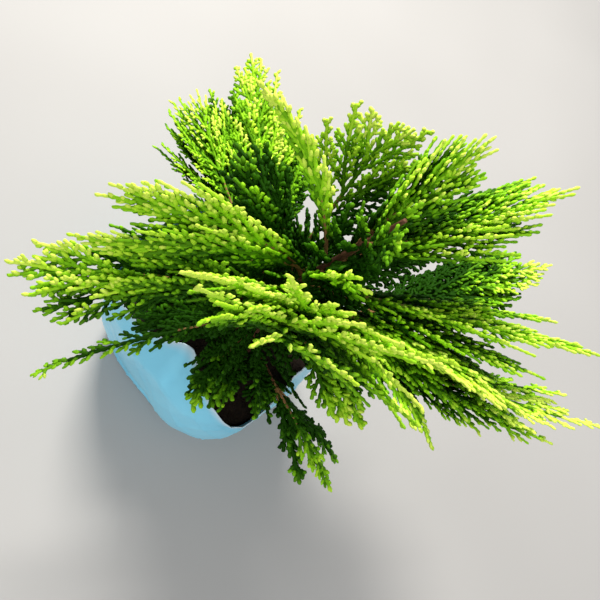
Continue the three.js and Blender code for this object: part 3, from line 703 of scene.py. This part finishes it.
def dress_trunk(number):
    """Short twigs round the upper trunk, each one a turn on from the last."""
    dress, lines = TRUNK_DRESS, []
    for k in range(dress.count):
        up = (k / (dress.count - 1)) ** dress.lower
        own = PLAIN._replace(height=mix(*dress.height, up), azimuth=k * dress.turn,
                             rise=mix(*dress.rise, up), reach=mix(*dress.reach, up) / RULE.axis,
                             tone=dress.tone)
        lines.append(spray_axis(own, leave_trunk(own, dress.foot), number + k))
    twigs = Shoots(*(np.concatenate(part) for part in zip(*(line.parts() for line in lines))))
    return grow_twigs(twigs, dress.stand, dress.size, number)


def deal_twigs(twigs, branchlets, tips, size, heaps, light):
    """Clads twigs, branchlets without and with tips of their own, and those tips."""
    long = branchlets.length > TIPS_FROM * size
    deal(twigs, "twig", size, heaps, light)
    deal(branchlets.where(~long), "branchlet", size, heaps, light)
    deal(branchlets.where(long), "long_branchlet", size, heaps, light)
    deal(tips, "tip", size, heaps, light)


def ripple(x, y, z):
    """A value between -1 and 1 that changes smoothly from place to place."""
    return noise.noise(Vector((x, y, z)))


def relief(points, stretch, size):
    """A ripple for each point, stretched along Z."""
    return np.array([ripple(x / size, y / size, z / (size * stretch)) for x, y, z in points])


def bark_limb(centre, radius_at, bark):
    """A limb with bark: rings round a line of points, their radius from a share and a turn."""
    along = unit(np.gradient(centre, axis=0))
    start = along[0]
    across = unit(np.array([start[2], 0, -start[0]]))
    side = unit(across - along * (along @ across)[:, None])
    third = np.cross(side, along)
    turn = np.arange(bark.sides) * 2 * np.pi / bark.sides
    at = np.linspace(0, 1, len(centre))
    radius = np.array([[radius_at(a, t) for t in turn] for a in at])
    way = (side[:, None] * np.cos(turn)[None, :, None] + third[:, None] * np.sin(turn)[None, :, None])
    places = (centre[:, None] + way * radius[..., None]).reshape(-1, 3)
    fibres = relief(places, *RELIEF.fibres).reshape(radius.shape)
    flakes = relief(places + RELIEF.apart, *RELIEF.flakes).reshape(radius.shape)
    rough = 1 - RELIEF.furrow * np.abs(fibres) + RELIEF.proud * flakes
    proud = bark.depth * radius ** 0.5 * rough
    rings = list(centre[:, None] + way * (radius + proud)[..., None])
    first, last = (np.repeat(end, bark.sides, axis=0) for end in (centre[:1], centre[-1:]))
    rings = [first, *rings, last]
    return np.concatenate(rings), tube_quads(len(rings), bark.sides)


def weld(piece):
    """Merges doubled points and turns the faces outwards."""
    work = bmesh.new()
    work.from_mesh(piece.data)
    bmesh.ops.remove_doubles(work, verts=work.verts, dist=MERGE)
    bmesh.ops.recalc_face_normals(work, faces=work.faces)
    work.to_mesh(piece.data)
    work.free()


# Shading

def add_node(tree, kind, settings, inputs):
    """Adds a node: its settings first, then the values or links of its sockets."""
    made = tree.nodes.new(kind)
    for key, value in settings.items():
        setattr(made, key, value)
    for key, value in inputs:
        socket = made.inputs[key.replace("_", " ") if isinstance(key, str) else key]
        if isinstance(value, bpy.types.NodeSocket):
            tree.links.new(value, socket)
        elif value is not None:
            socket.default_value = value
    return made.outputs


class Value:
    """A number on a shader socket. Arithmetic on it adds Math nodes."""

    def __init__(self, shader, socket):
        self.shader, self.socket = shader, socket

    def __add__(self, other):
        return self.shader.node("ShaderNodeMath", {"operation": "ADD"}, self, other)

    def __mul__(self, other):
        return self.shader.node("ShaderNodeMath", {"operation": "MULTIPLY"}, self, other)

    __radd__ = __add__
    __rmul__ = __mul__


class Shader:
    """A material whose nodes are added one by one."""

    def __init__(self, name, **constants):
        self.material = bpy.data.materials.new(name)
        self.material.use_nodes = True
        self.tree = self.material.node_tree
        self.surface = self.tree.nodes["Principled BSDF"]
        for socket, value in constants.items():
            self.surface.inputs[socket.replace("_", " ")].default_value = value

    def node(self, kind, settings, *values, output=0, **named):
        inputs = [(key, value.socket if isinstance(value, Value) else value)
                  for key, value in [*enumerate(values), *named.items()]]
        return Value(self, add_node(self.tree, kind, settings, inputs)[output])

    def place(self):
        return self.node("ShaderNodeTexCoord", {}, output="Object")

    def stretched(self, scale):
        return self.node("ShaderNodeMapping", {}, Vector=self.place(), Scale=scale)

    def noise(self, vector, scale, detail=3.0, roughness=0.5):
        return self.node("ShaderNodeTexNoise", {}, Vector=vector, Scale=scale, Detail=detail,
                         Roughness=roughness)

    def ramp(self, value, stops):
        made = self.tree.nodes.new("ShaderNodeValToRGB")
        elements = made.color_ramp.elements
        while len(elements) < len(stops):
            elements.new(0.5)
        for element, (place, colour) in zip(elements, stops):
            element.position = place
            element.color = (*colour, 1)
        self.tree.links.new(value.socket, made.inputs[0])
        return Value(self, made.outputs[0])

    def blend(self, factor, a, b):
        """Colour a turning into colour b, past the node's sockets for numbers and vectors."""
        return self.node("ShaderNodeMix", {"data_type": "RGBA"}, factor, *[None] * 5, a, b, output=2)

    def bump(self, height, strength, distance):
        return self.node("ShaderNodeBump", {}, Strength=strength, Distance=distance, Height=height)

    def set(self, **links):
        for socket, value in links.items():
            self.tree.links.new(value.socket, self.surface.inputs[socket.replace("_", " ")])
        return self.material


def foliage_material(name, colour):
    """Scale leaves, satin, the paler the more they shine."""
    return Shader(f"scale_leaves_{name}", Base_Color=(*colour, 1), Roughness=0.55,
                  Specular_IOR_Level=0.04 + 0.14 * colour[1]).material


def film_material():
    s = Shader("blue_film", Specular_IOR_Level=0.45, Coat_Weight=0.1)
    broad = s.noise(s.place(), scale=14, detail=4)
    colour = s.ramp(broad, [(0.3, (0.185, 0.590, 0.810)), (0.7, (0.280, 0.730, 0.930))])
    # The pale hem: paler folded film with a painted highlight along the rolled edge.
    pale = s.node("ShaderNodeAttribute", {"attribute_name": "pale"}, output="Fac")
    colour = s.blend(pale, colour, (0.62, 0.70, 0.76, 1))
    fine = s.noise(s.stretched((1, 1, 0.3)), scale=150, detail=5, roughness=0.6)
    return s.set(Base_Color=colour, Roughness=broad * 0.2 + 0.27,
                 Normal=s.bump(fine, strength=0.3, distance=0.0006))


def soil_material():
    s = Shader("potting_soil", Specular_IOR_Level=0.2)
    grain = s.noise(s.place(), scale=420, detail=5, roughness=0.7)
    patch = s.noise(s.place(), scale=60, detail=3)
    colour = s.ramp(grain * 0.6 + patch * 0.4,
                    [(0.35, (0.006, 0.004, 0.003)), (0.65, (0.045, 0.028, 0.018))])
    return s.set(Base_Color=colour, Roughness=grain * 0.2 + 0.75,
                 Normal=s.bump(grain, strength=0.6, distance=0.0008))


def bark_material(name, bark):
    s = Shader(name, Specular_IOR_Level=0.25)
    fibre = s.noise(s.stretched((1, 1, 0.12)), scale=520, detail=5, roughness=0.65)
    patch = s.noise(s.place(), scale=90, detail=3)
    colour = s.ramp(fibre * 0.65 + patch * 0.35,
                    [(0.34, bark.dark), (0.5, bark.middle), (0.66, bark.light)])
    return s.set(Base_Color=colour, Roughness=patch * 0.2 + 0.65,
                 Normal=s.bump(fibre, strength=0.5, distance=0.0005))


def floor_material():
    s = Shader("pale_floor", Roughness=0.8, Specular_IOR_Level=0.1)
    cloud = s.noise(s.place(), scale=3, detail=2)
    return s.set(Base_Color=s.ramp(cloud, [(0.3, (0.40, 0.39, 0.38)), (0.7, (0.44, 0.43, 0.42))]))


# Pieces

def finish_piece(piece, slot, *replaced):
    if replaced:
        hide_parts(*replaced)
    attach(piece, BODY)


def on_wall(turn, wide, layer):
    """A ripple of some width at a turn round the bag."""
    return ripple(SLACK.radius * math.cos(turn) / wide, SLACK.radius * math.sin(turn) / wide, layer)


def crease(turn, height, line):
    """A sharp crease line where a ripple crosses zero, on lines that wind up the bag."""
    value = on_wall(turn + height * line.slant, line.wide, height / CREASING.long + line.layer)
    return max(0, 1 - abs(value) * CREASING.sharp) ** CREASING.power


def film_offset(azimuth, height):
    """Slack, creases and gathers of the film, in millimetres outwards."""
    out = []
    for turn, z in zip(np.radians(azimuth), height):
        slack = on_wall(turn, SLACK.wide, z / SLACK.tall)
        wound = sum(line.high * crease(turn, z, line) for line in WINDING)
        foot = max(0, 1 - z / CREASING.foot_height) * crease(turn, 0, FOOT_CREASES)
        gather = (z / BAG.rim) ** GATHERS.power * on_wall(turn, GATHERS.wide, GATHERS.layer)
        out.append(SLACK.high * slack + wound + FOOT_CREASES.high * foot + GATHERS.high * gather
                   - SLACK.sunk)
    return np.array(out) - dent_depth(azimuth, height)


def dent_depth(azimuth, height):
    return sum(depth * share_of(azimuth, turn, spread) * np.exp(-((height - level) / tall) ** 2)
               for turn, spread, level, tall, depth in DENTS)


def turned(name, azimuth, rows, material):
    """A closed piece from rings, each a radius and a height at every azimuth."""
    a = np.radians(azimuth)
    points = np.concatenate([np.stack([r * np.cos(a), r * np.sin(a), h], axis=1) for r, h in rows])
    piece = mesh_from(name, points, tube_quads(len(rows), len(a)), material)
    weld(piece)
    return piece


def make_bag():
    azimuth = np.arange(FILM.sides) * 360 / FILM.sides
    a = np.radians(azimuth)
    wave = np.array([ripple(math.cos(turn) * HEM.waves, math.sin(turn) * HEM.waves, HEM.layer)
                     for turn in a])
    rim = rim_height(azimuth) + HEM.wave * wave
    outer = []
    for share in np.linspace(0, 1, FILM.rows):
        height = share * (rim - FILM.below_lip)
        foot = np.clip(share / FILM.foot, 0, 1) ** 0.5
        offset = film_offset(azimuth, height) * np.clip(share / FILM.plain, 0, 1)
        radius = bag_radius(height, azimuth) + offset - (1 - foot) * FILM.foot_in
        outer.append((radius, height))
    inner = [(radius - FILM.thick, np.maximum(height, FILM.floor)) for radius, height in outer]
    lip = (outer[-1][0] - FILM.thick / 2, outer[-1][1] + FILM.lip)
    zero = 0 * a
    rows = [(zero, zero), *outer, lip, *inner[::-1], (zero, zero + FILM.floor)]
    piece = turned("bag_film", azimuth, rows, film_material())
    # Paler towards the free edge: the folded hem's paler film and a painted highlight on its rolled
    # edge.
    pale = piece.data.attributes.new("pale", "FLOAT", "POINT")
    near = np.array([v.co[:] for v in piece.data.vertices]) / MM
    angle = np.degrees(np.arctan2(near[:, 1], near[:, 0]))
    edge = np.clip(1 - (rim_height(angle) - near[:, 2]) / HEM.wide, 0, 1) ** HEM.power
    pale.data.foreach_set("value", (HEM.pale * edge).astype(np.float32))
    finish_piece(piece, "film", "grow_bag")


def make_soil():
    azimuth = np.arange(SOIL.sides) * 360 / SOIL.sides
    a = np.radians(azimuth)

    def inside(height, gap):
        film = bag_radius(np.full(SOIL.sides, float(height)), azimuth)
        return film - gap - dent_depth(azimuth, height)

    def lump(x, y):
        return sum(high * ripple(x / wide, y / wide, layer) for high, wide, layer in SOIL.lumps)

    rows = [(0 * a, 0 * a + SOIL.heights[0])]
    rows += [(inside(height, SOIL.gap), 0 * a + height) for height in SOIL.heights]
    wall = inside(SOIL_LEVEL, SOIL.top_gap)
    for share in np.linspace(1, 0, SOIL.rings):
        radius = wall * share
        lumps = np.array([lump(x, y) for x, y in zip(radius * np.cos(a), radius * np.sin(a))])
        rows.append((radius, SOIL_LEVEL - SOIL.sunk + lumps * min(1, share * SOIL.start)))
    soil = soil_material()
    piece = turned("soil_top", azimuth, rows, soil)
    finish_piece(scatter(piece, "soil_crumbs", soil), "soil")
    finish_piece(piece, "soil", "soil")


def scatter(surface, name, material):
    """Crumbs on the top of a surface, as an object of their own."""
    tree = bpy.data.node_groups.new(name, "GeometryNodeTree")
    tree.interface.new_socket("Surface", in_out="INPUT", socket_type="NodeSocketGeometry")
    density = tree.interface.new_socket("Density", in_out="INPUT", socket_type="NodeSocketFloat")
    tree.interface.new_socket("Crumbs", in_out="OUTPUT", socket_type="NodeSocketGeometry")

    def add(kind, settings, **inputs):
        return add_node(tree, kind, settings, inputs.items())

    given = add("NodeGroupInput", {})
    place = add("ShaderNodeSeparateXYZ", {}, Vector=add("GeometryNodeInputPosition", {})["Position"])
    high = add("FunctionNodeCompare", {"operation": "GREATER_THAN"}, A=place["Z"],
               B=CRUMBS.above * MM)
    spots = add("GeometryNodeDistributePointsOnFaces", {}, Mesh=given["Surface"],
                Density=given["Density"], Selection=high["Result"], Seed=CRUMBS.seed)
    crumb = add("GeometryNodeMeshIcoSphere", {}, Radius=CRUMBS.size * MM, Subdivisions=1)
    turn, size = (add("FunctionNodeRandomValue", {"data_type": "FLOAT_VECTOR"}, Min=least, Max=most,
                      Seed=seed)["Value"] for least, most, seed in (CRUMBS.turns, CRUMBS.sizes))
    placed = add("GeometryNodeInstanceOnPoints", {}, Points=spots["Points"], Instance=crumb["Mesh"],
                 Rotation=turn, Scale=size)
    real = add("GeometryNodeRealizeInstances", {}, Geometry=placed["Instances"])
    painted = add("GeometryNodeSetMaterial", {}, Geometry=real["Geometry"], Material=material)
    add("NodeGroupOutput", {}, Crumbs=painted["Geometry"])

    modifier = surface.modifiers.new(name, "NODES")
    modifier.node_group = tree
    modifier[density.identifier] = float(CRUMBS.to_square_metre)
    evaluated = surface.evaluated_get(bpy.context.evaluated_depsgraph_get())
    mesh = bpy.data.meshes.new_from_object(evaluated)
    surface.modifiers.remove(modifier)
    return new_object(name, mesh)


def make_limbs(name, kind, limbs, replaced):
    """Joins limbs with one kind of bark to a piece, from their lines and radii."""
    heap, bark = Heap(), BARKS[kind]
    for centre, radius_at in limbs:
        heap.add(*bark_limb(centre, radius_at, bark))
    piece = mesh_from(name, np.vstack(heap.points), np.vstack(heap.quads),
                      bark_material(f"{kind}_bark", bark))
    weld(piece)
    finish_piece(piece, "bark", *replaced)


def tapered(foot, tip):
    return lambda at, _: mix(foot, tip, at)


def make_trunk_and_boughs():
    make_limbs("stem", "stem", [(TRUNK_CENTRE, trunk_radius)], ["trunk"])
    limbs = [(smooth_line(bough_line(name), STEPS.bark), tapered(row.foot, row.tip))
             for name, row in BOUGHS.items()]
    make_limbs("boughs", "bough", limbs, [f"bough_{name}" for name in BOUGHS])


def make_stems(stems):
    """The bark-covered foot of every spray's axis."""
    covered = int(STEM.points * (GREEN_FROM + STEM.under))
    limbs = []
    for fan, axis in stems:
        centre = smooth_line(axis.points[0], STEM.points)[:covered]
        radius = RULE.stem * (STEM.later if fan else 1) * STEM.radius
        limbs.append((centre, tapered(radius, radius * STEM.end)))
    make_limbs("twigs", "twig", limbs, [f"spray_{name}" for name in SPRAYS])


def make_foliage():
    grown = [list(grow_spray(name, number)) for number, name in enumerate(SPRAYS, start=1)]
    make_stems([(fan, parts[0]) for fans in grown for fan, parts in enumerate(fans)])
    sets = [(row.size, parts[1:]) for row, fans in zip(SPRAYS.values(), grown) for parts in fans]
    sets += [(BOUGH_DRESS.size, dress_bough(name, number))
             for number, name in enumerate(BOUGHS, start=len(SPRAYS) + 1)]
    sets.append((TRUNK_DRESS.size, dress_trunk(len(SPRAYS) + len(BOUGHS) + 1)))
    middles = [part.points[:, 1::2].reshape(-1, 3) for _, parts in sets for part in parts[:2]]
    light = Light(np.vstack(middles))
    heaps = [Heap() for _ in TINTS]
    for row, fans in zip(SPRAYS.values(), grown):
        for axis, *_ in fans:
            deal(axis, "axis", row.size, heaps, light)
    for size, parts in sets:
        deal_twigs(*parts, size, heaps, light)
    for (name, slot, colour), heap in zip(TINTS, heaps):
        material = foliage_material(name, colour)
        for k, part in enumerate(heap.pieces(), start=1):
            finish_piece(mesh_from(f"leaves_{name}_{k}", *part, material), slot)


# Studio

def make_studio():
    corners = np.array([(-1, -1, 0), (1, -1, 0), (1, 1, 0), (-1, 1, 0)]) * FLOOR_HALF
    mesh_from("floor", corners, np.array([[0, 1, 2, 3]]), floor_material())
    for name, lamp in LAMPS.items():
        data = bpy.data.lights.new(name, "AREA")
        data.size, data.energy, data.color = lamp.size, lamp.watts, lamp.colour
        light = new_object(name, data)
        light.location = lamp.place
        light.rotation_euler = (Vector(AIM) - Vector(lamp.place)).to_track_quat("-Z", "Y").to_euler()
    world = bpy.data.worlds.new("studio")
    world.use_nodes = True
    background = world.node_tree.nodes["Background"]
    background.inputs["Color"].default_value = SURROUND.colour
    background.inputs["Strength"].default_value = SURROUND.strength
    bpy.context.scene.world = world
    bpy.context.scene.view_settings.view_transform = "Standard"


def make_camera():
    down, roll = math.radians(CAMERA.down), math.radians(CAMERA.roll)
    right = Vector((1, 0, 0))
    up = Vector((0, math.sin(down), math.cos(down)))
    ahead = Vector((0, math.cos(down), -math.sin(down)))
    x = right * math.cos(roll) + up * math.sin(roll)
    y = up * math.cos(roll) - right * math.sin(roll)
    data = bpy.data.cameras.new("camera")
    data.lens, data.sensor_width = CAMERA.lens, CAMERA.sensor
    data.clip_start = CAMERA.nearest
    camera = new_object("camera", data)
    camera.matrix_world = Matrix((x, y, -ahead)).transposed().to_4x4()
    camera.location = CAMERA.place
    bpy.context.scene.camera = camera


make_camera()
make_studio()
make_bag()
make_soil()
make_trunk_and_boughs()
make_foliage()
